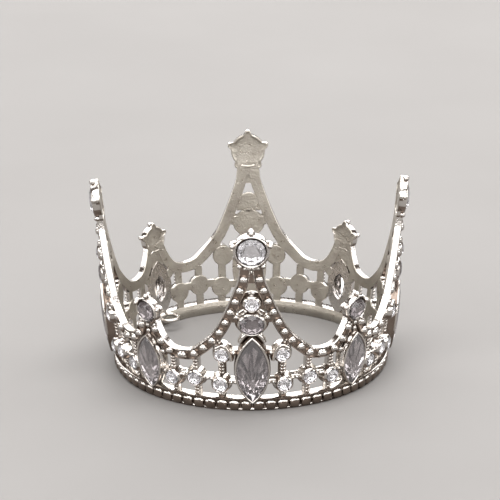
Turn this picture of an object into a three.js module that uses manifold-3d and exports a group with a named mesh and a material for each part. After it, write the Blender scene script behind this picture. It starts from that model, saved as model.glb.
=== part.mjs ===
// A miniature full-round crown: eight openwork castings stand side by side on a beaded base rail and
// hold clear faceted stones. Four tall castings face front, right, back and left, and four short ones
// stand between them. Two wire loops inside the rail take the pins that hold the crown in the hair.
// Millimetres, +Z up. The origin is the middle of the base, and the front of the crown faces -Y.
import * as THREE from 'three';
import { mergeVertices } from 'three/addons/utils/BufferGeometryUtils.js';
import Module from 'manifold-3d';

const wasm = await Module();
wasm.setup();

// The wall is a cone that opens upwards. Places on it are given as an angle in degrees from the
// middle of a casting and a height in mm.
const WALL_RADIUS = 30.95;
const WALL_FLARE = THREE.MathUtils.degToRad(7.06);
const WALL_THICKNESS = 1.4;
const MM_PER_DEGREE = 0.58;
const TALL_HALF_ANGLE = 29;
const SHORT_HALF_ANGLE = 16;
const SEAM_ANGLE = 0.25;
const ABOVE_ALL = 60;
const FIT_GAP = 0.3;
const STONE_GAP = 0.1;
const SLIVER = 0.08;

// Base rail with one pillow bead every five degrees.
const RAIL_INNER_RADIUS = 29.6;
const RAIL_OUTER_RADIUS = 32;
const RAIL_HEIGHT = 3;
const RAIL_CHAMFER = 0.4;
const RAIL_BEADS = 72;
const RAIL_BEAD_SWELL = 0.35;
const RAIL_BEAD_LOW = 0.8;
const RAIL_BEAD_HIGH = 2.1;

// Scalloped border of the wall, and the bars of the lattice under it. The border lines of both kinds
// of casting meet in a valley, whose lowest point is thirty degrees from a tall peak.
const RIBBON_WIDTH = 2.5;
const BAR_WIDTH = 1.7;
const VALLEY_HEIGHT = 12.6;
const VALLEY_SIDE_HEIGHT = 12.9;
const VALLEY_SIDE_ANGLE = 4;
const TALL_BORDER = { points: [[2.2, 36.3], [4.4, 30.1], [8.6, 24], [13.7, 18.6], [21.7, 14.2]], valley: 30 };
const SHORT_BORDER = { points: [[2, 20.3], [4.1, 17.2], [6.8, 14.6], [10.3, 13.1]], valley: 15 };
const BAR_HEIGHT = 7.5;
const FOOT_HEIGHT = RAIL_HEIGHT + FIT_GAP;

// Stones: the height of the centre on the wall and the size across.
const TALL_FINIAL = { height: 39.9, stone: 6.3, collar: 8.4, tips: 4.9, prong: 0.6 };
const SHORT_FINIAL = { height: 21.5, stone: 5, collar: 6.8, tips: 4.1, prong: 0.5 };
const TALL_NAVETTE = { height: 10.8, width: 7, length: 15.6 };
const SHORT_NAVETTE = { height: 9.4, width: 6.6, length: 12.6 };
const MID_STONE = { height: 22.2, stone: 5, cup: 6, back: 7.2 };
const TOP_STONE = { height: 27.2, stone: 3.2, cup: 4.2, back: 4.2 };
const UPPER_CUP = { angle: 11.8, height: 14.2, cup: 4.2 };
const TALL_ROW = [{ angle: 13.2, height: 6.5 }, { angle: 23.9, height: 7.6 }];
const SHORT_ROW = [{ angle: 11, height: 6.7 }];
const ROW_CUP = { stone: 3.2, cup: 4.1, back: 4.6 };

// Settings: how far each stands out from the wall, and how the stones sit in them.
const ROOT = -0.7;
const CUP_PROUD = 1.3;
const FINIAL_PROUD = 0.5;
const BEZEL_PROUD = 2;
const BEZEL_RIM = 0.4;
const RIM_STEP = 0.2;
const SEAT_DEPTH = 0.9;
const STONE_RISE = 0.8;
const CULET_SHARE = 0.75;
const TABLE_SHARE = 0.6;
const PRONGS = 5;
const HOLLOW_SIDE = 0.86;
const CUP_SIDES = 10;

// Pin loops soldered inside the rail.
const LOOP_RADIUS = 2.2;
const LOOP_WIRE = 0.85;
const LOOP_HEIGHT = 2.6;
const SOLDER_RADIUS = 0.9;
const LOOP_ANGLES = { left_back: -134, right_front: 46 };

const radians = THREE.MathUtils.degToRad;
const at = (angle, height) => new THREE.Vector2(angle, height);
const places = (pairs) => pairs.map(([angle, height]) => at(angle, height));
const mirrored = (points) => points.map((point) => at(-point.x, point.y));
const bothSides = (build) => [-1, 1].flatMap(build);
const wallRadius = (height) => WALL_RADIUS + height * Math.tan(WALL_FLARE);

// Joining and cutting of closed meshes.

function toSolid(geometry) {
  const bare = geometry.clone();
  bare.deleteAttribute('normal');
  bare.deleteAttribute('uv');
  const merged = mergeVertices(bare);
  const vertProperties = new Float32Array(merged.attributes.position.array);
  const triVerts = new Uint32Array(merged.index.array);
  return new wasm.Manifold(new wasm.Mesh({ numProp: 3, vertProperties, triVerts }));
}

function toGeometry(solid) {
  const mesh = solid.getMesh();
  const geometry = new THREE.BufferGeometry();
  geometry.setAttribute('position', new THREE.BufferAttribute(mesh.vertProperties, mesh.numProp));
  geometry.setIndex(new THREE.BufferAttribute(mesh.triVerts, 1));
  geometry.computeVertexNormals();
  return geometry;
}

function join(geometries) {
  return geometries.map(toSolid).reduce((whole, solid) => whole.add(solid));
}

// Drops the slivers that joins and cuts leave on a flat face.
const withoutSlivers = (solid) => solid.asOriginal().simplify(SLIVER);

// A flat outline given a thickness along Z.
function slab(outline, bottom, top) {
  const settings = { depth: top - bottom, bevelEnabled: false };
  return new THREE.ExtrudeGeometry(new THREE.Shape(outline), settings).translate(0, 0, bottom);
}

// Pieces of the wall are drawn flat as (degrees, height) and given the wall's thickness. A casting's
// flat pieces are joined and then bent round together.

const wallPiece = (outline) => slab(outline, -WALL_THICKNESS, 0);

function bendToWall(geometry) {
  const position = geometry.attributes.position;
  for (let i = 0; i < position.count; i += 1) {
    const angle = radians(position.getX(i));
    const height = position.getY(i);
    const radius = wallRadius(height) + position.getZ(i);
    position.setXYZ(i, radius * Math.sin(angle), -radius * Math.cos(angle), height);
  }
  return geometry;
}

// The part of the wall under a cup or bezel, from the outline of what stands on it.
function footprint(outline, angle, height) {
  return wallPiece(outline.map((point) => at(angle + point.x / MM_PER_DEGREE, height + point.y)));
}

// A band of even width along a line of points on the wall.
function band(points, width) {
  const edges = points.map((point, i) => {
    const before = points[Math.max(i - 1, 0)];
    const after = points[Math.min(i + 1, points.length - 1)];
    const along = at((after.x - before.x) * MM_PER_DEGREE, after.y - before.y).setLength(width / 2);
    const across = at(-along.y / MM_PER_DEGREE, along.x);
    return { right: point.clone().sub(across), left: point.clone().add(across) };
  });
  return wallPiece([...edges.map((edge) => edge.right), ...edges.map((edge) => edge.left).reverse()]);
}

const bar = (from, to, width = BAR_WIDTH) => band([from, to], width);
const upright = (angle, from, to) => bar(at(angle, from), at(angle, to));
const level = (height, from, to, width) => bar(at(from, height), at(to, height), width);

// The scalloped border on both sides of a peak: a smooth line from the peak to past the valley.
function borders({ points, valley }, steps) {
  const line = new THREE.SplineCurve(
    places([
      ...points,
      [valley - VALLEY_SIDE_ANGLE, VALLEY_SIDE_HEIGHT],
      [valley, VALLEY_HEIGHT],
      [valley + VALLEY_SIDE_ANGLE, VALLEY_SIDE_HEIGHT],
    ]),
  ).getPoints(steps);
  return [band(line, RIBBON_WIDTH), band(mirrored(line), RIBBON_WIDTH)];
}

// Cups, bezels and stones are made round the Z axis, with the wall's outer face at Z = 0, and then
// stood on the wall.

function wallFrame(angle, height) {
  const turn = radians(angle);
  const out = new THREE.Vector3(Math.sin(turn), -Math.cos(turn), 0);
  const along = new THREE.Vector3(Math.cos(turn), Math.sin(turn), 0);
  const normal = out.clone().multiplyScalar(Math.cos(WALL_FLARE)).setZ(-Math.sin(WALL_FLARE));
  const up = normal.clone().cross(along);
  const origin = out.multiplyScalar(wallRadius(height)).setZ(height);
  return new THREE.Matrix4().makeBasis(along, up, normal).setPosition(origin);
}

const onWall = (geometry, angle, height) => geometry.applyMatrix4(wallFrame(angle, height));

function disc(diameter, bottom, top, sides = CUP_SIDES) {
  const geometry = new THREE.CylinderGeometry(diameter / 2, diameter / 2, top - bottom, sides);
  return geometry.rotateX(Math.PI / 2).translate(0, 0, (top + bottom) / 2);
}

function circle(diameter) {
  const curve = new THREE.EllipseCurve(0, 0, diameter / 2, diameter / 2);
  return curve.getPoints(CUP_SIDES).slice(1);
}

// Pointed oval between two arcs: one side from tip to tip, then the same side turned half round.
function navetteOutline(width, length, steps = 6) {
  const radius = (length ** 2 + width ** 2) / (4 * width);
  const reach = Math.asin(length / 2 / radius);
  const right = Array.from({ length: steps }, (_, i) => {
    const turn = reach * ((2 * i) / steps - 1);
    return at(radius * Math.cos(turn) - radius + width / 2, radius * Math.sin(turn));
  });
  return [...right, ...right.map((point) => at(-point.x, -point.y))];
}

// Five-pointed plate with hollow sides, one point upwards.
function starOutline(tipRadius) {
  return Array.from({ length: 2 * PRONGS }, (_, i) => {
    const turn = Math.PI / 2 + (i * Math.PI) / PRONGS;
    const radius = i % 2 === 0 ? tipRadius : tipRadius * HOLLOW_SIDE;
    return at(radius * Math.cos(turn), radius * Math.sin(turn));
  });
}

// Settings: what each adds to the flat wall, what stands on the wall, and the seats cut afterwards.

function roundCup(angle, height, { stone, cup, back }) {
  return {
    flat: footprint(circle(back), angle, height),
    proud: [onWall(disc(cup - RIM_STEP, ROOT, CUP_PROUD), angle, height)],
    seats: [onWall(disc(stone, CUP_PROUD - SEAT_DEPTH, CUP_PROUD + 1), angle, height)],
  };
}

// A cup and its small stone as one low dome.
function filledCup(angle, height, { cup }) {
  const radius = (cup - RIM_STEP) / 2;
  const depth = CUP_PROUD + STONE_RISE - ROOT;
  const dome = new THREE.CylinderGeometry(radius * TABLE_SHARE, radius, depth, CUP_SIDES);
  dome.rotateX(Math.PI / 2).translate(0, 0, ROOT + depth / 2);
  return { flat: footprint(circle(cup), angle, height), proud: [onWall(dome, angle, height)], seats: [] };
}

function bezel({ height, width, length }, backWindow) {
  const outline = (grow) => navetteOutline(width + 2 * grow, length + 4 * grow);
  const seats = [slab(outline(0), BEZEL_PROUD - SEAT_DEPTH, BEZEL_PROUD + 1)];
  if (backWindow) {
    seats.push(slab(navetteOutline(width / 2, length / 2, 4), -WALL_THICKNESS - 1, BEZEL_PROUD));
  }
  return {
    flat: footprint(outline(BEZEL_RIM + RIM_STEP), 0, height),
    proud: [onWall(slab(outline(BEZEL_RIM), ROOT, BEZEL_PROUD), 0, height)],
    seats: seats.map((geometry) => onWall(geometry, 0, height)),
  };
}

function finial({ height, stone, collar, tips, prong }) {
  const proud = [disc(collar, ROOT, FINIAL_PROUD)];
  for (let i = 0; i < PRONGS; i += 1) {
    const claw = disc(2 * prong, ROOT, FINIAL_PROUD + prong, 5);
    claw.translate(0, tips - prong, 0).rotateZ((i * 2 * Math.PI) / PRONGS);
    proud.push(claw);
  }
  return {
    flat: footprint(starOutline(tips), 0, height),
    proud: proud.map((geometry) => onWall(geometry, 0, height)),
    seats: [onWall(disc(stone, FINIAL_PROUD - SEAT_DEPTH, FINIAL_PROUD + 1), 0, height)],
  };
}

const rowCups = (row, side) => row.map(({ angle, height }) => roundCup(side * angle, height, ROW_CUP));

// One casting: the flat pieces are joined, trimmed at the seams and bent, the settings stand on them,
// and then the rail's room and the seats are cut out.
function casting(halfAngle, flatPieces, settings) {
  const edge = halfAngle - SEAM_ANGLE;
  const room = wallPiece(places([[-edge, 0], [edge, 0], [edge, ABOVE_ALL], [-edge, ABOVE_ALL]]));
  const wall = join([...flatPieces, ...settings.map((setting) => setting.flat)]).intersect(toSolid(room));
  const bent = bendToWall(toGeometry(withoutSlivers(wall)));
  let solid = join([bent, ...settings.flatMap((setting) => setting.proud)]);
  for (const seat of [railRoom(), ...settings.flatMap((setting) => setting.seats)]) {
    solid = solid.subtract(toSolid(seat));
  }
  return toGeometry(withoutSlivers(solid));
}

function tallCasting() {
  const [first, second] = TALL_ROW;
  const neckAndBacks = [
    level(34.6, -4, 4, 5.6),
    level(TOP_STONE.height, -4.8, 4.8, 3.4),
    level(MID_STONE.height + 0.7, -7, 7, 3),
    level(19.3, -2.6, 2.6, 2.2),
  ];
  const lattice = bothSides((side) => [
    bar(at(side * 5, 15), at(side * UPPER_CUP.angle, UPPER_CUP.height)),
    bar(at(side * UPPER_CUP.angle, UPPER_CUP.height), at(side * 14.5, 17.4), 2),
    upright(side * UPPER_CUP.angle, first.height, UPPER_CUP.height),
    upright(side * first.angle, FOOT_HEIGHT, first.height),
    upright(side * second.angle, FOOT_HEIGHT, 13.4),
    level(BAR_HEIGHT - 0.6, side * 5, side * first.angle),
    level(BAR_HEIGHT, side * first.angle, side * TALL_HALF_ANGLE),
  ]);
  const settings = [
    finial(TALL_FINIAL),
    bezel(TALL_NAVETTE, false),
    roundCup(0, TOP_STONE.height, TOP_STONE),
    roundCup(0, MID_STONE.height, MID_STONE),
    ...bothSides((side) => filledCup(side * UPPER_CUP.angle, UPPER_CUP.height, UPPER_CUP)),
    ...bothSides((side) => rowCups(TALL_ROW, side)),
  ];
  return casting(TALL_HALF_ANGLE, [...neckAndBacks, ...borders(TALL_BORDER, 12), ...lattice], settings);
}

function shortCasting() {
  const [first] = SHORT_ROW;
  const lattice = bothSides((side) => [
    upright(side * first.angle, FOOT_HEIGHT, VALLEY_HEIGHT),
    level(BAR_HEIGHT, side * 5, side * SHORT_HALF_ANGLE),
    bar(at(side * 5.6, 12), at(side * 8.6, 13.4), 2),
  ]);
  const settings = [
    finial(SHORT_FINIAL),
    bezel(SHORT_NAVETTE, true),
    ...bothSides((side) => rowCups(SHORT_ROW, side)),
  ];
  const neck = level(17, -4.6, 4.6, 4);
  return casting(SHORT_HALF_ANGLE, [neck, ...borders(SHORT_BORDER, 9), ...lattice], settings);
}

// The rail: a ring whose outer side swells into pillow beads.

function ring(profile, segments) {
  return new THREE.LatheGeometry(places([...profile, profile[0]]), segments).rotateX(Math.PI / 2);
}

function railRoom() {
  const outer = RAIL_OUTER_RADIUS + RAIL_BEAD_SWELL + FIT_GAP;
  const inner = RAIL_INNER_RADIUS - FIT_GAP;
  return ring([[inner, -1], [outer, -1], [outer, FOOT_HEIGHT], [inner, FOOT_HEIGHT]], RAIL_BEADS);
}

function baseRail() {
  const rim = RAIL_OUTER_RADIUS;
  const profile = [
    [RAIL_INNER_RADIUS, 0],
    [rim - RAIL_CHAMFER, 0],
    [rim, RAIL_BEAD_LOW],
    [rim, RAIL_BEAD_HIGH],
    [rim - RAIL_CHAMFER, RAIL_HEIGHT],
    [RAIL_INNER_RADIUS, RAIL_HEIGHT],
  ];
  const geometry = ring(profile, 2 * RAIL_BEADS);
  const position = geometry.attributes.position;
  for (let i = 0; i < position.count; i += 1) {
    const [x, y, z] = [position.getX(i), position.getY(i), position.getZ(i)];
    if (z > RAIL_CHAMFER && z < RAIL_HEIGHT - RAIL_CHAMFER) {
      const swell = (RAIL_BEAD_SWELL * (1 - Math.cos(Math.atan2(x, -y) * RAIL_BEADS))) / 2;
      position.setXYZ(i, x * (1 + swell / rim), y * (1 + swell / rim), z);
    }
  }
  return toGeometry(toSolid(geometry));
}

// A wire ring lying flat, with a spot of solder that reaches the rail.
function pinLoop() {
  const reach = RAIL_INNER_RADIUS - FIT_GAP;
  const wire = new THREE.TorusGeometry(LOOP_RADIUS, LOOP_WIRE / 2, 6, 16);
  wire.translate(0, LOOP_RADIUS + LOOP_WIRE / 4 - reach, LOOP_HEIGHT);
  const solder = new THREE.SphereGeometry(SOLDER_RADIUS, 8, 6);
  solder.scale(1.5, 1, 0.8).translate(0, -reach, LOOP_HEIGHT);
  return toGeometry(join([wire, solder]).subtract(toSolid(railRoom())));
}

// Stones: the girdle is in the seat and the table stands proud of it.

function roundStone({ stone }, proud) {
  const radius = stone / 2 - STONE_GAP;
  const depth = SEAT_DEPTH - STONE_GAP;
  const top = depth + STONE_RISE;
  const profile = [[0, 0], [radius * CULET_SHARE, 0], [radius, depth], [radius * TABLE_SHARE, top], [0, top]];
  const geometry = new THREE.LatheGeometry(places(profile), CUP_SIDES).rotateX(Math.PI / 2);
  return geometry.translate(0, 0, proud - depth);
}

function smallStone() {
  const radius = ROW_CUP.stone / 2 - STONE_GAP;
  const depth = SEAT_DEPTH - STONE_GAP + STONE_RISE;
  const geometry = new THREE.CylinderGeometry(radius * TABLE_SHARE, radius, depth, 8).rotateX(Math.PI / 2);
  return geometry.translate(0, 0, CUP_PROUD + STONE_RISE - depth / 2);
}

function navetteStone({ width, length }) {
  const slope = (width * (1 - TABLE_SHARE)) / 2;
  const bevel = { bevelThickness: SEAT_DEPTH, bevelSize: slope, bevelOffset: -slope, bevelSegments: 1 };
  const shape = new THREE.Shape(navetteOutline(width - 2 * STONE_GAP, length - 4 * STONE_GAP));
  const geometry = new THREE.ExtrudeGeometry(shape, { depth: STONE_GAP, ...bevel });
  return geometry.translate(0, 0, BEZEL_PROUD + STONE_GAP);
}

// Assembly.

const crown = new THREE.Group();

const FINISHES = {
  silver: { color: 0xd6d0c6, roughness: 0.2, metalness: 1 },
  satin: { color: 0xb4a998, roughness: 0.45, metalness: 1 },
  clear: { color: 0xe8e6ea, roughness: 0.05, metalness: 0.1 },
  smoky: { color: 0x9d959a, roughness: 0.05, metalness: 0.1 },
};

function add(name, geometry, finish, parent = crown) {
  const mesh = new THREE.Mesh(geometry, new THREE.MeshStandardMaterial(FINISHES[finish]));
  mesh.name = name;
  parent.add(mesh);
  return mesh;
}

function addTurned(angle) {
  const panel = new THREE.Group();
  panel.rotation.z = radians(angle);
  crown.add(panel);
  return panel;
}

function addStone(name, geometry, finish, panel, { angle = 0, height }) {
  add(name, geometry, finish, panel).applyMatrix4(wallFrame(angle, height));
}

function addRow(row, side, panel) {
  row.forEach(({ angle, height }, i) => {
    addStone(`row_stone_${side}_l${i + 1}`, smallStone(), 'clear', panel, { angle: -angle, height });
    addStone(`row_stone_${side}_r${i + 1}`, smallStone(), 'clear', panel, { angle, height });
  });
}

add('base_rail', baseRail(), 'silver');

['front', 'right', 'back', 'left'].forEach((side, i) => {
  const panel = addTurned(90 * i);
  add(`tall_casting_${side}`, tallCasting(), 'silver', panel);
  addStone(`finial_stone_${side}`, roundStone(TALL_FINIAL, FINIAL_PROUD), 'clear', panel, TALL_FINIAL);
  addStone(`navette_stone_${side}`, navetteStone(TALL_NAVETTE), 'smoky', panel, TALL_NAVETTE);
  addStone(`mid_stone_${side}`, roundStone(MID_STONE, CUP_PROUD), 'smoky', panel, MID_STONE);
  addStone(`top_stone_${side}`, smallStone(), 'clear', panel, TOP_STONE);
  addRow(TALL_ROW, side, panel);
});

['front_right', 'back_right', 'back_left', 'front_left'].forEach((side, i) => {
  const panel = addTurned(45 + 90 * i);
  add(`short_casting_${side}`, shortCasting(), 'silver', panel);
  addStone(`finial_stone_${side}`, roundStone(SHORT_FINIAL, FINIAL_PROUD), 'clear', panel, SHORT_FINIAL);
  addStone(`navette_stone_${side}`, navetteStone(SHORT_NAVETTE), 'smoky', panel, SHORT_NAVETTE);
  addRow(SHORT_ROW, side, panel);
});

for (const [place, angle] of Object.entries(LOOP_ANGLES)) {
  add(`pin_loop_${place}`, pinLoop(), 'satin', addTurned(angle));
}

export default crown;
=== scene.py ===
"""Looks of the miniature crown: finished castings, rail, loops and faceted stones round the CAD frame."""
import math

import bmesh
import bpy
from mathutils import Matrix, Vector


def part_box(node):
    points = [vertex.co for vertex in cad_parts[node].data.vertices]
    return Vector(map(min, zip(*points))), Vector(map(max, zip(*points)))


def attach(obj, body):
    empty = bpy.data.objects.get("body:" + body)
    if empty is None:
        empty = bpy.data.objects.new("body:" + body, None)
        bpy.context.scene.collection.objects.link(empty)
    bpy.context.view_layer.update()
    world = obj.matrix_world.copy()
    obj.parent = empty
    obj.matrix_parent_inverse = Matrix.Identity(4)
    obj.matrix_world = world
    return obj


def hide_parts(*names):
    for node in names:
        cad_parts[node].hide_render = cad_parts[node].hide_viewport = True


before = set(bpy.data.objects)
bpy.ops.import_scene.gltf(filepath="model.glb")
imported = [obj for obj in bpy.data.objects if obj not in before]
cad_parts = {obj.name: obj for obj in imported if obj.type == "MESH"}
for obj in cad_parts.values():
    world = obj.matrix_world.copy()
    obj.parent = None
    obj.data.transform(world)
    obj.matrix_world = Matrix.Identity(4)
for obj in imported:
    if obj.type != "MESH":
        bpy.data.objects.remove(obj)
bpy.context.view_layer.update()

# Lengths are millimetres until a mesh is made. Angles are degrees from the front, towards +X.
# A place on the wall is (angle, height).
MM = 0.001
UP = Vector((0, 0, 1))
PEAKS = {"front": 0, "right": 90, "back": 180, "left": 270}
SHORT_PEAKS = {"front_right": 45, "back_right": 135, "back_left": 225, "front_left": 315}

# The wall, a cone that opens upwards.
WALL_RADIUS = 30.95
WALL_FLARE = math.radians(7.06)
WALL_THICKNESS = 1.4
TALL_EDGE = 29
SHORT_EDGE = 16

# Scalloped border: a band with a raised rim on each side and a row of domed beads between them.
BORDER_WIDTH = 2.5
BORDER_FIELD = -0.2
BORDER_RIM = 0.25
BEAD_RADIUS = 0.98
BEAD_HEIGHT = 0.95
BEAD_PITCH = 2.95
TALL_FIRST_BEAD = 3.4
SHORT_FIRST_BEAD = 3.0
TALL_BORDER = [
    (2.3, 36.3), (2.9, 32.9), (4.4, 30.1), (8.6, 24), (13.7, 18.6), (21.7, 14.2), (26, 12.9), (30, 12.6),
]
SHORT_BORDER = [(2.1, 20.3), (4.1, 17.2), (6.8, 14.6), (10.3, 13.1), (15, 12.6), (19, 12.9)]

# Lattice bars. Uprights stop a little above and below a row stone, and level bars beside it.
BAR_WIDTH = 1.9
BAR_BACK = -1.32
BAR_FACE = -0.15
BAR_BEVEL = 0.15
BAR_FOOT = 0.45
BAR_SHOULDER = 0.4
DOT_RADIUS = 0.34
DOT_HEIGHT = 0.3
DOT_PITCH = 0.74
DOT_ANGLE = 0.55
LATTICE_FOOT = 3.1
LATTICE_LEVEL = 7.6
ROW_STONE_REACH = 2
ROW_STONE_ANGLE = 3.2
DOME_FOOT = -0.4

# Base rail, with its pillow beads as half sizes (sideways, out, up), and the pin loops inside it.
RAIL_SECTION = [
    (29.75, 0), (29.6, 0.2), (29.6, 2.2), (29.75, 2.4), (29.75, 2.8), (29.9, 3), (32.15, 3.05), (32.3, 2.95),
    (32.3, 2.7), (32.15, 2.58), (31.5, 2.5), (31.4, 2.3), (31.4, 0.4), (31.5, 0.2), (31.8, 0.15), (31.8, 0),
]
RAIL_SEGMENTS = 288
RAIL_BEADS = 72
PILLOW_REACH = 31.65
PILLOW_MIDDLE = 1.38
PILLOW_HALF = (1.27, 0.8, 1.16)
LOOP_ANGLES = {"left_back": -134, "right_front": 46}
LOOP_REACH = 27.3
LOOP_HEIGHT = 2.85
LOOP_RADIUS = 2.25
LOOP_WIRE_RADIUS = 0.48
SOLDER_REACH = 29.3
SOLDER_HALF = (1.5, 0.75, 0.85)

# Round cups, by the radius of their seat.
UPPER_STONE = (11.8, 14.2)
SMALL_SEAT = 1.6
MID_SEAT = 2.8
MID_SQUASH = 0.88
CUP_WALL = 0.55
CUP_FACE = 1.2

# Bezels of the pointed stones, by the width and length of their seat.
TALL_SEAT = (7.1, 16)
SHORT_SEAT = (6.6, 12.6)
TALL_BEZEL_FACE = 1.95
SHORT_BEZEL_FACE = 1.35
BEZEL_WALL = 0.5
BEZEL_SEAT = -0.75
BEZEL_BACK = -1.45
NAVETTE_LIFT = 0.2

# Finials: radii of the seat, the collar, the tips of the plate and the knobs on them.
TALL_FINIAL = {"seat": 3.25, "collar": 4.1, "tips": 5.15, "knob": 0.66}
SHORT_FINIAL = {"seat": 2.5, "collar": 3.2, "tips": 4.15, "knob": 0.52}
PRONGS = 5
TIP_ANGLE = 15
FINIAL_FACE = 0.5
FINIAL_BACK = -1.5
KNOB_MIDDLE = -0.15
KNOB_STRETCH = 1.25

# Cuts of the stones. The face is that of the setting, and the table and the culet are shares of the rim.
# The rim lies sunk under that face. Star and keel are the levels halfway up the crown and down the pavilion.
ROUND_SINK = 0.15
NAVETTE_SINK = 0.2
HALF_GIRDLE = 0.05
STAR_SPREAD = 0.04
STAR_HEIGHT = 0.55
KEEL_DEPTH = 0.48
NAVETTE_DROP = 0.29
NAVETTE_ZIGZAG = 0.13
SMALL_CUT = {"diameter": 3.15, "face": CUP_FACE, "crown": 0.6, "pavilion": 0.66, "table": 0.56, "culet": 0.14}
MID_CUT = {
    "diameter": 5.5, "face": CUP_FACE, "crown": 0.7, "pavilion": 0.6, "table": 0.62, "culet": 0.5,
    "squash": MID_SQUASH,
}
TALL_FINIAL_CUT = {
    "diameter": 6.45, "face": FINIAL_FACE, "crown": 0.8, "pavilion": 0.7, "table": 0.66, "culet": 0.5,
}
SHORT_FINIAL_CUT = {**TALL_FINIAL_CUT, "diameter": 4.95, "pavilion": 0.55}
TALL_NAVETTE_CUT = {"width": 7, "length": 15.9, "face": TALL_BEZEL_FACE, "pavilion": 1.2}
SHORT_NAVETTE_CUT = {"width": 6.5, "length": 12.5, "face": SHORT_BEZEL_FACE, "pavilion": 1.0}

# Material slots of a casting, the rail and a loop. The third is painted shade, a darker silver. The last one
# stays bright whichever way it looks, as the painted shade never replaces it.
BRIGHT_SLOT, INSIDE_SLOT, PAINTED_SHADE_SLOT, KEPT_SLOT = range(4)
# Material slots of a stone.
GLASS_SLOT, FOIL_SLOT = range(2)

# Which faces get satin or the painted shade: how far they look inwards, outwards or down, and how low they
# lie.
INWARDS = -0.45
OUTWARDS = 0.9
PAINTED_SHADE_FIELD_LEVEL = 0.05
CASTING_UNDERSIDE = -0.3
RAIL_UNDERSIDE = 0.1


# ---------------------------------------------------------------- places

def full_turn(count):
    """Even steps round a circle, in radians."""
    return [2 * math.pi * k / count for k in range(count)]


def round_point(turn, radius, height):
    """A point round the crown's axis, at a turn in radians."""
    return Vector((radius * math.sin(turn), -radius * math.cos(turn), height))


def level_axes(angle):
    """Sideways round the crown, and straight out of it, at an angle."""
    turn = math.radians(angle)
    return Vector((math.cos(turn), math.sin(turn), 0)), Vector((math.sin(turn), -math.cos(turn), 0))


def wall_normal(out):
    """The wall's normal, from the level direction out of the crown."""
    return out * math.cos(WALL_FLARE) - UP * math.sin(WALL_FLARE)


def wall_axes(angle):
    """Along the wall, up the wall, and out of it, at an angle."""
    along, out = level_axes(angle)
    normal = wall_normal(out)
    return along, normal.cross(along), normal


def wall_point(angle, height):
    """A point on the wall's outer face."""
    return round_point(math.radians(angle), WALL_RADIUS + height * math.tan(WALL_FLARE), height)


def on_wall(place, points):
    """Points given as (along, up, out) from a place on the wall."""
    along, up, normal = wall_axes(place[0])
    foot = wall_point(*place)
    return [foot + along * x + up * y + normal * z for x, y, z in points]


def stone_place(node):
    """The angle and height of a CAD stone."""
    low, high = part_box(node)
    middle = (low + high) / 2 / MM
    return math.degrees(math.atan2(middle.x, -middle.y)), middle.z


def smooth_line(points, steps=8):
    """A smooth line through places, with the given number of steps between one and the next."""
    ends = [points[0], *points, points[-1]]
    line = []
    for a, b, c, d in zip(ends, ends[1:], ends[2:], ends[3:]):
        for step in range(steps):
            t = step / steps
            line.append(tuple(
                0.5 * (
                    2 * q + (r - p) * t + (2 * p - 5 * q + 4 * r - s) * t * t
                    + (3 * q - p - 3 * r + s) * t ** 3
                )
                for p, q, r, s in zip(a, b, c, d)
            ))
    return [*line, points[-1]]


def evenly_along(line, pitch, start):
    """Places on a line at an even pitch, the first one a given distance from its beginning."""
    feet = [wall_point(*place) for place in line]
    found = []
    walked = 0.0
    wanted = start
    for (here, there), (foot, next_foot) in zip(zip(line, line[1:]), zip(feet, feet[1:])):
        span = (next_foot - foot).length
        while walked + span >= wanted:
            share = (wanted - walked) / span
            found.append(tuple(a + (b - a) * share for a, b in zip(here, there)))
            wanted += pitch
        walked += span
    return found


def mirrored(line):
    """The places of a line on the other side of the middle."""
    return [(-angle, height) for angle, height in line]


def up_to(line, angle):
    """The line cut off where it passes an angle."""
    kept = [place for place in line if place[0] < angle]
    after = line[len(kept)]
    before = kept[-1]
    share = (angle - before[0]) / (after[0] - before[0])
    return [*kept, (angle, before[1] + (after[1] - before[1]) * share)]


# ---------------------------------------------------------------- closed shells

class Shell:
    """Closed forms of one piece, gathered in millimetres."""

    def __init__(self):
        self.points = []
        self.faces = []
        self.slots = []

    def loft(self, rings, around=False, slot=BRIGHT_SLOT):
        """Joins rings of equal length. The ends are capped, or joined to each other when around is set."""
        first = len(self.points)
        count = len(rings[0])
        for ring in rings:
            self.points.extend(ring)
        pairs = list(range(len(rings) - 1)) + ([-1] if around else [])
        for i in pairs:
            low = first + (i % len(rings)) * count
            high = first + ((i + 1) % len(rings)) * count
            for k in range(count):
                after = (k + 1) % count
                self.faces.append((low + k, low + after, high + after, high + k))
        if not around:
            last = first + (len(rings) - 1) * count
            self.faces.append(tuple(range(first + count - 1, first - 1, -1)))
            self.faces.append(tuple(range(last, last + count)))
        self.slots.extend([slot] * (len(self.faces) - len(self.slots)))

    def facets(self, points, faces, slots):
        """Flat facets given by their corners."""
        first = len(self.points)
        self.points.extend(points)
        self.faces.extend(tuple(first + corner for corner in face) for face in faces)
        self.slots.extend(slots)

    def mesh(self, name, smooth_angle=None):
        """The forms as one mesh in metres, with faces out. Without an angle, every edge stays sharp."""
        mesh = bpy.data.meshes.new(name)
        mesh.from_pydata([point * MM for point in self.points], [], self.faces)
        mesh.polygons.foreach_set("material_index", self.slots)
        work = bmesh.new()
        work.from_mesh(mesh)
        bmesh.ops.recalc_face_normals(work, faces=work.faces)
        work.to_mesh(mesh)
        work.free()
        if smooth_angle is not None:
            mesh.shade_smooth()
            mesh.set_sharp_from_angle(angle=math.radians(smooth_angle))
        return mesh


def bar_section(back_width, face_width, face):
    """Section of a bar with bevelled edges that is wider at the back, as (across, out)."""
    back, front = back_width / 2, face_width / 2
    right = [
        (back - BAR_BEVEL, BAR_BACK), (back, BAR_BACK + BAR_BEVEL), (back, BAR_BACK + BAR_FOOT),
        (front, face - BAR_SHOULDER), (front, face - BAR_BEVEL), (front - BAR_BEVEL, face),
    ]
    return right + [(-across, out) for across, out in reversed(right)]


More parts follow.
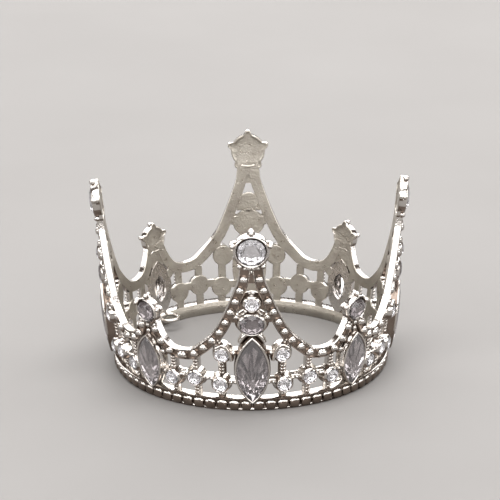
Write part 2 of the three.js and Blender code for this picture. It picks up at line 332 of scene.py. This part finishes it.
def wire_section(width, top):
    """Section of a wire with a rounded top, as (across, out)."""
    half = width / 2
    steps = 8
    turns = [math.pi * k / steps for k in range(steps + 1)]
    crown = [(half * math.cos(t), top - half + half * math.sin(t)) for t in turns]
    return [(half, BAR_BACK), *crown, (-half, BAR_BACK)]


def sweep(shell, line, section):
    """A solid of one section along a line on the wall."""
    feet = [wall_point(*place) for place in line]
    rings = []
    for i, (angle, _) in enumerate(line):
        ahead = feet[min(i + 1, len(feet) - 1)] - feet[max(i - 1, 0)]
        normal = wall_axes(angle)[2]
        across = ahead.cross(normal).normalized()
        rings.append([feet[i] + across * offset + normal * out for offset, out in section])
    shell.loft(rings)


def turned(shell, place, profile, segments, squash=1.0):
    """A solid turned about the wall's normal at a place, from a profile of (radius, out)."""
    along, up, normal = wall_axes(place[0])
    foot = wall_point(*place)
    shell.loft([
        [
            foot + (along * math.cos(t) + up * math.sin(t) * squash) * radius + normal * out
            for t in full_turn(segments)
        ]
        for radius, out in profile
    ])


def dome(shell, place, radius, top, segments=16):
    """A bead: a rounded top on a short side that reaches into the wall."""
    steps = 5
    profile = [(radius, DOME_FOOT)]
    for i in range(steps):
        turn = math.pi / 2 * i / steps
        profile.append((radius * math.cos(turn), top * math.sin(turn)))
    profile.append((radius * 0.12, top))
    turned(shell, place, profile, segments)


def outline_solid(shell, place, outlines, around=False, slot=BRIGHT_SLOT):
    """A solid through outlines given as (list of (along, up), out) in the wall's plane at a place."""
    rings = [on_wall(place, [(x, y, out) for x, y in outline]) for outline, out in outlines]
    shell.loft(rings, around, slot)


# ---------------------------------------------------------------- parts of a casting

def border(shell, points, edge, first_bead):
    """The scalloped border on both sides of a peak, with its beads."""
    half = BORDER_WIDTH / 2
    rim = [
        (half - 0.12, -WALL_THICKNESS), (half, 0.12 - WALL_THICKNESS), (half, BORDER_RIM - 0.2),
        (half - 0.2, BORDER_RIM), (half - 0.25, BORDER_RIM), (half - 0.37, BORDER_FIELD),
    ]
    section = rim + [(-across, out) for across, out in reversed(rim)]
    line = up_to(smooth_line(points), edge)
    beads = evenly_along(line, BEAD_PITCH, first_bead)
    for side in (line, mirrored(line)):
        sweep(shell, side, section)
    for bead in beads + mirrored(beads):
        dome(shell, bead, BEAD_RADIUS, BEAD_HEIGHT)


def bar(shell, start, end, back_width, face_width=None, face=BAR_FACE):
    """A straight bar between two places. Returns its middle line."""
    steps = 6
    line = [tuple(a + (b - a) * i / steps for a, b in zip(start, end)) for i in range(steps + 1)]
    sweep(shell, line, bar_section(back_width, face_width or back_width, face))
    return line


def dotted_upright(shell, angle, low, high):
    """An upright bar with two columns of small dots."""
    lap = 0.3
    bar(shell, (angle, low - lap), (angle, high + lap), BAR_WIDTH, face_width=1.15)
    rows = max(int((high - low) / DOT_PITCH), 1)
    for row in range(rows):
        height = low + (row + 0.5) * (high - low) / rows
        for side in (-DOT_ANGLE, DOT_ANGLE):
            dome(shell, (angle + side, height), DOT_RADIUS, DOT_HEIGHT, segments=10)


def notched_level(shell, height, start, end):
    """A level bar that carries a row of small beads."""
    line = bar(shell, (start, height), (end, height), BAR_WIDTH, face_width=1, face=0.1)
    for place in evenly_along(line, pitch=0.95, start=0.3):
        dome(shell, place, radius=0.46, top=0.55, segments=12)


def cup(shell, place, radius, depth=1.25, base=0.35, squash=1.0):
    """A round cup on a wider foot, with a thin rounded rim round the stone's seat."""
    outer = radius + CUP_WALL
    foot = outer + base
    turned(shell, place, [
        (foot - 0.2, -WALL_THICKNESS), (foot, 0.2 - WALL_THICKNESS), (foot, -0.8), (outer, -0.3),
        (outer, CUP_FACE - 0.6), (outer - 0.16, CUP_FACE - 0.3), (outer - 0.34, CUP_FACE - 0.1),
        (outer - 0.46, CUP_FACE), (radius, CUP_FACE - 0.05), (radius, CUP_FACE - depth),
    ], 28, squash)


def arc_radius(width, length):
    """Radius of the two arcs that make a pointed oval."""
    return (length ** 2 + width ** 2) / (4 * width)


def navette_ring(width, length, grow=0.0):
    """Pointed oval between two arcs, grown evenly, as (along, up)."""
    steps = 14
    offset = arc_radius(width, length) - width / 2
    radius = arc_radius(width, length) + grow
    turn = math.acos(offset / radius)
    right = []
    for i in range(steps):
        t = turn * (2 * i / steps - 1)
        right.append((radius * math.cos(t) - offset, radius * math.sin(t)))
    return right + [(-x, -y) for x, y in right]


def bezel(shell, place, seat, face, wall_slot, window=False):
    """The bezel of a pointed stone: a wall in the given slot, which can be the painted shade, and a bright
    rim. A window opens its back.
    """
    def ring(grow):
        return navette_ring(*seat, grow)

    body = [
        (ring(BEZEL_WALL), BEZEL_BACK), (ring(BEZEL_WALL + 0.1), BEZEL_BACK + 0.2),
        (ring(BEZEL_WALL + 0.1), face - 1.05), (ring(BEZEL_WALL - 0.05), face - 0.85),
        (ring(BEZEL_WALL - 0.05), face - 0.25), (ring(0.05), face - 0.25), (ring(0.05), face - 0.9),
        (ring(-0.9), BEZEL_SEAT),
    ]
    if window:
        hole = navette_ring(seat[0] * 0.6, seat[1] * 0.52)
        body += [(hole, BEZEL_SEAT), (hole, BEZEL_BACK)]
    outline_solid(shell, place, body, around=window, slot=wall_slot)
    rim = [
        (ring(BEZEL_WALL - 0.02), face - 0.4), (ring(BEZEL_WALL - 0.02), face - 0.12),
        (ring(BEZEL_WALL - 0.15), face), (ring(0.1), face), (ring(0), face - 0.1), (ring(0), face - 0.4),
    ]
    outline_solid(shell, place, rim, around=True)


def tipped_ring(radius, tips, grow=0.0):
    """A circle that swells into rounded tips, one of them up."""
    gap = 360 / PRONGS
    ring = []
    for degree in range(0, 360, 4):
        off_tip = abs((degree - 90 + gap / 2) % gap - gap / 2)
        swell = max(1 - (off_tip / TIP_ANGLE) ** 2, 0) ** 1.5
        reach = radius + (tips - radius) * swell + grow
        turn = math.radians(degree)
        ring.append((reach * math.cos(turn), reach * math.sin(turn)))
    return ring


def finial(shell, height, seat, collar, tips, knob):
    """The setting on top of a peak: a plate with pointed tips, a thick collar, and a knob on each tip."""
    place = (0, height)

    def plate(grow):
        return tipped_ring(collar, tips, grow)

    def circle(radius):
        return tipped_ring(radius, radius)

    outline_solid(shell, place, [
        (plate(-0.9), FINIAL_BACK + 0.25), (plate(-0.55), FINIAL_BACK + 0.2), (plate(-0.35), FINIAL_BACK),
        (plate(-0.15), FINIAL_BACK), (plate(0), FINIAL_BACK + 0.15),
        (plate(0), -0.75), (tipped_ring(collar, tips - 0.2), -0.6), (circle(collar), -0.5),
        (circle(collar), FINIAL_FACE - 0.4), (circle(collar - 0.14), FINIAL_FACE - 0.14),
        (circle(collar - 0.34), FINIAL_FACE), (circle(seat + 0.25), FINIAL_FACE - 0.1),
        (circle(seat + 0.05), FINIAL_FACE - 0.35), (circle(seat), FINIAL_FACE - 0.7),
        (circle(seat - 0.9), -0.95),
    ])
    along, up, normal = wall_axes(0)
    for i in range(PRONGS):
        turn = math.pi / 2 + 2 * math.pi * i / PRONGS
        out = along * math.cos(turn) + up * math.sin(turn)
        middle = wall_point(*place) + out * (tips - knob)
        ball(shell, middle, out, normal.cross(out), normal, knob)


def ball(shell, middle, out, side, normal, radius):
    """A knob: a ball stretched along the wall's normal, lofted from back to front."""
    steps = 9
    rings = []
    for step in range(steps):
        lift = math.pi * (step + 0.25) / (steps - 0.5)
        reach = radius * math.sin(lift)
        face = KNOB_MIDDLE - KNOB_STRETCH * radius * math.cos(lift)
        rings.append([
            middle + (out * math.cos(t) + side * math.sin(t)) * reach + normal * face for t in full_turn(16)
        ])
    shell.loft(rings)


# ---------------------------------------------------------------- castings

def tall_casting():
    """The casting with a tall peak, at the front."""
    shell = Shell()
    finial(shell, stone_place("finial_stone_front")[1], **TALL_FINIAL)
    border(shell, TALL_BORDER, TALL_EDGE, TALL_FIRST_BEAD)
    tall_neck(shell)
    # small stone and mid stone on the middle line
    top = stone_place("top_stone_front")[1]
    mid = stone_place("mid_stone_front")[1]
    cup(shell, (0, top), SMALL_SEAT)
    bar(shell, (-5, top - 0.1), (5, top - 0.1), 3.8, face=-0.5)
    cup(shell, (0, mid), MID_SEAT, depth=1.5, base=0.5, squash=MID_SQUASH)
    bar(shell, (-7.6, mid + 0.7), (7.6, mid + 0.7), 2.2, face_width=1.4, face=-0.1)
    for side in (-1, 1):
        dome(shell, (side * 5.9, mid + 1.5), radius=0.7, top=0.7)
    navette = stone_place("navette_stone_front")[1]
    # The tall bezel's wall gets the painted shade, a darker silver.
    bezel(shell, (0, navette + NAVETTE_LIFT), TALL_SEAT, TALL_BEZEL_FACE, PAINTED_SHADE_SLOT)
    row = [stone_place(f"row_stone_front_r{i}") for i in (1, 2)]
    for side in (-1, 1):
        navette_shoulder(shell, side)
        upper_stone_setting(shell, side)
        dotted_upright(shell, side * 12.4, 8.8, 12.1)
        for angle, height in row:
            cup(shell, (side * angle, height), SMALL_SEAT)
            dotted_upright(shell, side * angle, LATTICE_FOOT, height - ROW_STONE_REACH)
        dotted_upright(shell, side * row[1][0], row[1][1] + ROW_STONE_REACH, 12)
        first, second = row[0][0], row[1][0]
        notched_level(shell, row[0][1] + 0.5, side * 6.2, side * (first - ROW_STONE_ANGLE))
        gaps = [(first + ROW_STONE_ANGLE, second - ROW_STONE_ANGLE), (second + ROW_STONE_ANGLE, TALL_EDGE)]
        for start, end in gaps:
            notched_level(shell, LATTICE_LEVEL, side * start, side * end)
    return shell


def tall_neck(shell):
    """A plate between the border's two sides, with a scalloped bar and a small drop on it."""
    bar(shell, (0, 33.2), (0, 37), 4.2, face=-0.3)
    bar(shell, (0, 31.9), (0, 34), 2.2, face=-0.35)
    for angle in (-2.4, -0.8, 0.8, 2.4):
        dome(shell, (angle, 35.65), radius=0.5, top=0.35, segments=12)
    drop = [(0.34, -0.4), (0.34, -0.1), (0.22, 0.12), (0.05, 0.2)]
    turned(shell, (0, 34.7), drop, segments=12, squash=1.6)


def navette_shoulder(shell, side):
    """A curved wire over the top of the front navette, and a bead beside it."""
    shoulder = smooth_line([(side * 1.5, 19.5), (side * 3.2, 18.7), (side * 4.8, 17.2)], 4)
    sweep(shell, shoulder, wire_section(width=1.1, top=0.7))
    dome(shell, (side * 7.3, 14.6), radius=0.75, top=0.9)


def upper_stone_setting(shell, side):
    """The cup beside the top of the front navette, with its bars, bead and curved arm."""
    upper = (side * UPPER_STONE[0], UPPER_STONE[1])
    bar(shell, (side * 5.5, 14.8), upper, 1.6, face_width=1.2, face=0)
    bar(shell, upper, (side * 14.7, 17.2), 1.8, face_width=1.4, face=0)
    dome(shell, (side * 14, 15.9), radius=0.6, top=0.6)
    cup(shell, upper, SMALL_SEAT)
    arm = smooth_line([(side * 8, 12.9), (side * 9, 15), (side * 11.2, 16.5), (side * 14, 15.8)], 5)
    sweep(shell, arm, wire_section(width=0.9, top=1.3))


def short_casting():
    """The casting with a short peak, turned to the front."""
    shell = Shell()
    finial(shell, stone_place("finial_stone_front_right")[1], **SHORT_FINIAL)
    border(shell, SHORT_BORDER, SHORT_EDGE, SHORT_FIRST_BEAD)
    bar(shell, (0, 14.8), (0, 19.2), 5, face=-0.4)
    for place in ((0, 18), (-2.9, 17.8), (2.9, 17.8), (0, 16.6)):
        dome(shell, place, radius=0.62, top=0.6, segments=12)
    navette = stone_place("navette_stone_front_right")[1]
    bezel(shell, (0, navette), SHORT_SEAT, SHORT_BEZEL_FACE, KEPT_SLOT, window=True)
    row_angle, row_height = stone_place("row_stone_front_right_r1")
    row_angle -= SHORT_PEAKS["front_right"]
    for side in (-1, 1):
        bar(shell, (side * 5.4, 11.6), (side * 8.6, 13.2), 2.2, face_width=1.6, face=-0.3)
        dome(shell, (side * 6.6, 12.2), radius=0.6, top=0.5)
        angle = side * row_angle
        cup(shell, (angle, row_height), SMALL_SEAT)
        dotted_upright(shell, angle, LATTICE_FOOT, row_height - ROW_STONE_REACH)
        dotted_upright(shell, angle, row_height + ROW_STONE_REACH, 11.8)
        notched_level(shell, LATTICE_LEVEL - 0.2, side * 6, angle - side * ROW_STONE_ANGLE)
        notched_level(shell, LATTICE_LEVEL, angle + side * ROW_STONE_ANGLE, side * SHORT_EDGE)
    return shell


# ---------------------------------------------------------------- rail and loops

def base_rail():
    """A plain ring with a ledge on top, and a row of pillow beads in the hollow under the ledge."""
    shell = Shell()
    shell.loft([
        [round_point(turn, radius, height) for radius, height in RAIL_SECTION]
        for turn in full_turn(RAIL_SEGMENTS)
    ], around=True)
    for k in range(RAIL_BEADS):
        pillow(shell, 360 * (k + 0.5) / RAIL_BEADS)
    return shell


def softened(share, power):
    """A share from -1 to 1, pushed outwards by a power below 1, which squares a rounded form."""
    return math.copysign(abs(share) ** power, share)


def pillow(shell, angle):
    """One rounded bead of the rail: a soft box, lofted sideways."""
    side, out = level_axes(angle)
    half_side, half_out, half_up = PILLOW_HALF
    middle = out * PILLOW_REACH + UP * PILLOW_MIDDLE
    steps = 9
    rings = []
    for i in range(steps):
        across = math.cos(math.pi * (i + 0.35) / (steps - 0.3))
        share = (1 - abs(across) ** 4) ** 0.4
        rings.append([
            middle + side * across * half_side
            + out * (softened(math.cos(t), 0.75) * half_out * share)
            + UP * (softened(math.sin(t), 0.7) * half_up * share)
            for t in full_turn(16)
        ])
    shell.loft(rings)


def pin_loop(angle):
    """A wire ring lying flat inside the rail, in a spot of solder."""
    shell = Shell()
    side, out = level_axes(angle)
    middle = out * LOOP_REACH + UP * LOOP_HEIGHT
    rings = []
    for spin in full_turn(36):
        around = out * math.cos(spin) + side * math.sin(spin)
        rings.append([
            middle + around * (LOOP_RADIUS + LOOP_WIRE_RADIUS * math.cos(t))
            + UP * LOOP_WIRE_RADIUS * math.sin(t)
            for t in full_turn(12)
        ])
    shell.loft(rings, around=True)
    half_side, half_out, half_up = SOLDER_HALF
    solder = out * SOLDER_REACH + UP * LOOP_HEIGHT
    rings = []
    for k in range(1, 10):
        t = math.pi * k / 10
        rings.append([
            solder + side * (-half_side * math.cos(t))
            + (out * math.cos(s) * half_out + UP * math.sin(s) * half_up) * math.sin(t)
            for s in full_turn(14)
        ])
    shell.loft(rings)
    return shell


# ---------------------------------------------------------------- stones

def cut_stone(place, rim, girdle, crown, pavilion, table, culet, sides, drop=0.0, zigzag=0.0):
    """A faceted stone from its rim, a function of the turn that gives (along, up).

    The crown and the pavilion have two levels each, and the pavilion ends in a flat culet, which drop
    sets off downwards. Zigzag moves every other point of the keel in and the rest out. The front is
    glass, and the back is foil."""
    step = 2 * math.pi / sides
    main_turns = [k * step for k in range(sides)]
    half_turns = [(k + 0.5) * step for k in range(sides)]
    rim_turns = [k * step / 2 for k in range(2 * sides)]

    def level(turns, share, height, shift=0.0):
        outline = [rim(turn) for turn in turns]
        return [(x * share, y * share - shift * (1 - share), girdle + height) for x, y in outline]

    keel_share = (1 + culet) / 2
    keel_depth = -pavilion * KEEL_DEPTH
    keels = level(half_turns, keel_share + zigzag, keel_depth, drop)
    keels[1::2] = level(half_turns[1::2], keel_share - zigzag, keel_depth, drop)

    points = (
        level(main_turns, table, crown)
        + level(half_turns, (1 + table) / 2 + STAR_SPREAD, crown * STAR_HEIGHT)
        + level(rim_turns, 1.0, HALF_GIRDLE) + level(rim_turns, 1.0, -HALF_GIRDLE)
        + keels + level(main_turns, culet, -pavilion, drop)
    )
    star, rim_top, rim_low, keel, point = sides, 2 * sides, 4 * sides, 6 * sides, 7 * sides
    faces = [tuple(range(sides)), tuple(range(point, point + sides))]
    slots = [GLASS_SLOT, FOIL_SLOT]
    for k in range(sides):
        after = (k + 1) % sides
        before = (k - 1) % sides
        main, half, next_main = 2 * k, 2 * k + 1, (2 * k + 2) % (2 * sides)
        glass = [
            (k, star + k, after),
            (k, star + before, rim_top + main, star + k),
            (star + k, rim_top + main, rim_top + half),
            (star + k, rim_top + half, rim_top + next_main),
            (rim_top + main, rim_low + main, rim_low + half, rim_top + half),
            (rim_top + half, rim_low + half, rim_low + next_main, rim_top + next_main),
        ]
        foil = [
            (rim_low + main, keel + k, rim_low + half),
            (rim_low + half, keel + k, rim_low + next_main),
            (rim_low + main, keel + before, keel + k),
            (keel + before, point + k, keel + k),
            (keel + k, point + k, point + after),
        ]
        faces += glass + foil
        slots += [GLASS_SLOT] * len(glass) + [FOIL_SLOT] * len(foil)
    shell = Shell()
    shell.facets(on_wall(place, points), faces, slots)
    return shell


def round_stone(place, diameter, face, crown, pavilion, table, culet, squash=1.0):
    """A round stone with eight sides."""
    def rim(turn):
        return diameter / 2 * math.cos(turn), diameter / 2 * math.sin(turn) * squash

    return cut_stone(place, rim, face - ROUND_SINK, crown, pavilion, table, culet, sides=8)


def navette_stone(place, width, length, face, pavilion):
    """A pointed oval stone, deepest in its lower part."""
    arc = arc_radius(width, length)
    tip = math.asin(length / 2 / arc)

    def rim(turn):
        """Even steps along the two arcs, anticlockwise from the middle of the right one."""
        quarter = (turn / (math.pi / 2)) % 4
        side = 1 if quarter < 1 or quarter >= 3 else -1
        share = quarter if quarter < 1 else (2 - quarter if quarter < 3 else quarter - 4)
        return side * (arc * math.cos(tip * share) - arc + width / 2), arc * math.sin(tip * share)

    return cut_stone(
        place, rim, face - NAVETTE_SINK, crown=0.65, pavilion=pavilion, table=0.7, culet=0.14, sides=16,
        drop=length * NAVETTE_DROP, zigzag=NAVETTE_ZIGZAG,
    )


# ---------------------------------------------------------------- materials

def new_material(name):
    """A node material, with its nodes, links and shader."""
    material = bpy.data.materials.new(name)
    material.use_nodes = True
    nodes = material.node_tree.nodes
    return material, nodes, material.node_tree.links, nodes["Principled BSDF"]


def noise_map(nodes, links, scale, low=0, high=1):
    """Noise in object space, mapped to a range."""
    coordinates = nodes.new("ShaderNodeTexCoord")
    noise = nodes.new("ShaderNodeTexNoise")
    noise.inputs["Scale"].default_value = scale
    noise.inputs["Detail"].default_value = 3
    spread = nodes.new("ShaderNodeMapRange")
    spread.inputs["From Min"].default_value = 0.3
    spread.inputs["From Max"].default_value = 0.7
    spread.inputs["To Min"].default_value = low
    spread.inputs["To Max"].default_value = high
    links.new(coordinates.outputs["Object"], noise.inputs["Vector"])
    links.new(noise.outputs["Fac"], spread.inputs["Value"])
    return spread.outputs["Result"]


def two_tone(nodes, links, dark, light, scale):
    """A colour that wanders between two tones."""
    ramp = nodes.new("ShaderNodeValToRGB")
    ramp.color_ramp.elements[0].color = (*dark, 1)
    ramp.color_ramp.elements[1].color = (*light, 1)
    links.new(noise_map(nodes, links, scale), ramp.inputs["Fac"])
    return ramp.outputs["Color"]


def metal(name, dark, light, roughness, wave, wave_scale):
    """Plated casting: slightly uneven colour and gloss, and a soft waviness left by the mould."""
    material, nodes, links, shader = new_material(name)
    shader.inputs["Metallic"].default_value = 1.0
    links.new(two_tone(nodes, links, dark, light, scale=260), shader.inputs["Base Color"])
    gloss = noise_map(nodes, links, scale=900, low=roughness * 0.7, high=roughness * 1.35)
    links.new(gloss, shader.inputs["Roughness"])
    bump = nodes.new("ShaderNodeBump")
    bump.inputs["Strength"].default_value = wave
    bump.inputs["Distance"].default_value = 0.0001
    links.new(noise_map(nodes, links, wave_scale), bump.inputs["Height"])
    links.new(bump.outputs["Normal"], shader.inputs["Normal"])
    return material


def gem(name, dark, light):
    """Clear cut glass with faint striae and polishing marks."""
    material, nodes, links, shader = new_material(name)
    shader.inputs["Transmission Weight"].default_value = 0.88
    shader.inputs["IOR"].default_value = 1.54
    links.new(two_tone(nodes, links, dark, light, scale=300), shader.inputs["Base Color"])
    links.new(noise_map(nodes, links, scale=1500, high=0.012), shader.inputs["Roughness"])
    return material


SILVER = metal("bright_silver", (0.50, 0.47, 0.44), (0.62, 0.59, 0.56), 0.14, wave=0.25, wave_scale=1300)
SATIN = metal("satin_silver", (0.36, 0.33, 0.29), (0.46, 0.43, 0.38), 0.36, wave=0.4, wave_scale=2200)
# Painted shade and painted reflection: darker silver on undersides, low fields and the tall bezel wall, in
# place of the shade and the dark surroundings they would mirror.
SHADE_PAINTED_SILVER = metal("painted_shade_silver", (0.18, 0.14, 0.115), (0.28, 0.225, 0.19), 0.2, wave=0.3, wave_scale=1500)
CLEAR = gem("clear_stone", (0.72, 0.71, 0.73), (0.83, 0.825, 0.84))
SMOKY = gem("smoky_stone", (0.50, 0.465, 0.47), (0.60, 0.565, 0.57))
FOIL = metal("stone_foil", (0.80, 0.79, 0.80), (0.92, 0.91, 0.92), 0.035, wave=0.02, wave_scale=1800)
DARK = gem("dark_stone", (0.26, 0.235, 0.24), (0.35, 0.32, 0.325))
CASTING_MATERIALS = [SILVER, SATIN, SHADE_PAINTED_SILVER, SILVER]


# ---------------------------------------------------------------- pieces

def new_object(name, data):
    """An object in the scene that holds the data."""
    holder = bpy.data.objects.new(name, data)
    bpy.context.scene.collection.objects.link(holder)
    return holder


def add_piece(name, mesh, materials, nodes=()):
    """A finished piece, in place of the CAD nodes given."""
    piece = new_object(name, mesh)
    for material in materials:
        mesh.materials.append(material)
    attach(piece, "root")
    if nodes:
        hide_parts(*nodes)


def give_satin_and_painted_shade(mesh, underside):
    """Satin on faces that look at the crown's middle, and painted shade, a darker silver,
    in low fields and on faces that tilt down past the underside limit."""
    for face in mesh.polygons:
        if face.material_index == KEPT_SLOT:
            continue
        middle = face.center / MM
        level = Vector((middle.x, middle.y, 0))
        out = level.normalized()
        height_out = (level.length - WALL_RADIUS - middle.z * math.tan(WALL_FLARE)) * math.cos(WALL_FLARE)
        shaded_low_field = face.normal.dot(wall_normal(out)) > OUTWARDS and height_out < PAINTED_SHADE_FIELD_LEVEL
        if face.normal.dot(out) < INWARDS:
            face.material_index = INSIDE_SLOT
        # Satin inside; painted shade on low fields and on faces that tilt down.
        elif face.normal.z < underside or shaded_low_field:
            face.material_index = PAINTED_SHADE_SLOT


def rotated(mesh, angle):
    """A copy of a mesh, turned round the crown's axis."""
    copy = mesh.copy()
    copy.transform(Matrix.Rotation(math.radians(angle), 4, "Z"))
    return copy


def add_castings():
    for kind, build, peaks in (("tall", tall_casting, PEAKS), ("short", short_casting, SHORT_PEAKS)):
        mesh = build().mesh(f"{kind}_casting", smooth_angle=38)
        # Satin inside, and painted shade on undersides and low fields.
        give_satin_and_painted_shade(mesh, CASTING_UNDERSIDE)
        for side, angle in peaks.items():
            name = f"{kind}_casting_{side}"
            add_piece(f"{name}_finished", rotated(mesh, angle), CASTING_MATERIALS, [name])


def add_stone(node, build, cut, glass, lift=0):
    """The finished stone of a CAD node, lifted a little up the wall where asked."""
    turn, height = stone_place(node)
    mesh = build((turn, height + lift), **cut).mesh(node)
    add_piece(f"{node}_cut", mesh, [glass, FOIL], [node])


def add_stones():
    for side, angle in PEAKS.items():
        add_stone(f"finial_stone_{side}", round_stone, TALL_FINIAL_CUT, CLEAR)
        add_stone(
            f"navette_stone_{side}", navette_stone, TALL_NAVETTE_CUT, SMOKY, NAVETTE_LIFT,
        )
        add_stone(f"mid_stone_{side}", round_stone, MID_CUT, DARK)
        add_stone(f"top_stone_{side}", round_stone, SMALL_CUT, CLEAR)
        for place in ("l1", "r1", "l2", "r2"):
            add_stone(f"row_stone_{side}_{place}", round_stone, SMALL_CUT, CLEAR)
        for hand, turn in (("l", -UPPER_STONE[0]), ("r", UPPER_STONE[0])):
            mesh = round_stone((angle + turn, UPPER_STONE[1]), **SMALL_CUT).mesh("upper_stone")
            add_piece(f"upper_stone_{side}_{hand}", mesh, [CLEAR, FOIL])
    for side in SHORT_PEAKS:
        add_stone(f"finial_stone_{side}", round_stone, SHORT_FINIAL_CUT, DARK)
        add_stone(f"navette_stone_{side}", navette_stone, SHORT_NAVETTE_CUT, SMOKY)
        for place in ("l1", "r1"):
            add_stone(f"row_stone_{side}_{place}", round_stone, SMALL_CUT, CLEAR)


def add_rail():
    mesh = base_rail().mesh("base_rail", smooth_angle=45)
    # Satin inside, and painted shade on the pillows' lower halves and other undersides.
    give_satin_and_painted_shade(mesh, RAIL_UNDERSIDE)
    add_piece("base_rail_finished", mesh, [SILVER, SATIN, SHADE_PAINTED_SILVER], ["base_rail"])
    for place, angle in LOOP_ANGLES.items():
        mesh = pin_loop(angle).mesh("pin_loop", smooth_angle=60)
        add_piece(f"pin_loop_{place}_finished", mesh, [SILVER], [f"pin_loop_{place}"])


# ---------------------------------------------------------------- studio

def add_camera():
    """The camera at the photo's angle, worked out from the outline of the crown."""
    target = Vector((0, 0, 18.82)) * MM
    distance, elevation, azimuth = 0.6749, math.radians(20.94), math.radians(-0.45)
    camera = bpy.data.cameras.new("camera")
    camera.lens = 206.9
    camera.sensor_width = 36
    holder = new_object("camera", camera)
    back = Vector((math.sin(azimuth), -math.cos(azimuth), 0)) * math.cos(elevation)
    location = target + (back + UP * math.sin(elevation)) * distance
    aim_up = math.radians(0.656)
    roll = math.radians(-0.555)
    look = Matrix.Rotation(azimuth, 4, "Z") @ Matrix.Rotation(math.pi / 2 - elevation + aim_up, 4, "X")
    holder.matrix_world = Matrix.Translation(location) @ look @ Matrix.Rotation(roll, 4, "Z")
    bpy.context.scene.camera = holder


def add_floor():
    """A plain pale floor, in metres."""
    mesh = bpy.data.meshes.new("floor")
    half = 2.5
    corners = [(-half, -half, 0), (half, -half, 0), (half, half, 0), (-half, half, 0)]
    mesh.from_pydata(corners, [], [(0, 1, 2, 3)])
    floor = new_object("floor", mesh)
    material, nodes, links, shader = new_material("floor")
    shader.inputs["Roughness"].default_value = 0.9
    tone = two_tone(nodes, links, (0.165, 0.158, 0.152), (0.177, 0.170, 0.164), scale=12)
    links.new(tone, shader.inputs["Base Color"])
    mesh.materials.append(material)


def add_light(name, location, aim, width, height, power):
    """A softbox aimed at a point. Lengths are metres and the power is watts."""
    lamp = bpy.data.lights.new(name, "AREA")
    lamp.shape = "RECTANGLE"
    lamp.size = width
    lamp.size_y = height
    lamp.energy = power
    holder = new_object(name, lamp)
    holder.location = location
    holder.rotation_euler = (Vector(aim) - Vector(location)).to_track_quat("-Z", "Y").to_euler()


def add_studio():
    """Wide softboxes overhead, high and low behind the crown, in front above the camera and at both
    sides, and a narrow strip low in front. The world is a dim warm grey."""
    add_light("top_softbox", (0.05, -0.1, 0.85), (0, 0, 0.02), 1.6, 0.5, 16)
    add_light("upper_back_softbox", (0, 0.55, 0.72), (0, 0, 0.03), 1.8, 0.45, 8)
    add_light("back_softbox", (0, 0.85, 0.42), (0, 0, 0.03), 1.6, 0.6, 14)
    add_light("front_softbox", (0.1, -0.88, 0.66), (0, 0, 0.02), 1.4, 0.75, 11)
    add_light("left_softbox", (-1.05, -0.4, 0.38), (0, 0, 0.02), 1.1, 0.5, 6)
    add_light("right_softbox", (1.05, -0.4, 0.38), (0, 0, 0.02), 1.1, 0.5, 6)
    add_light("front_strip", (0.02, -1.0, 0.12), (0, 0, 0.035), 0.14, 0.3, 1.2)
    world = bpy.data.worlds.new("studio")
    world.use_nodes = True
    world.node_tree.nodes["Background"].inputs["Color"].default_value = (0.20, 0.16, 0.14, 1)
    world.node_tree.nodes["Background"].inputs["Strength"].default_value = 0.7
    bpy.context.scene.world = world
    bpy.context.scene.view_settings.view_transform = "Standard"


add_camera()
add_castings()
add_rail()
add_stones()
add_floor()
add_studio()
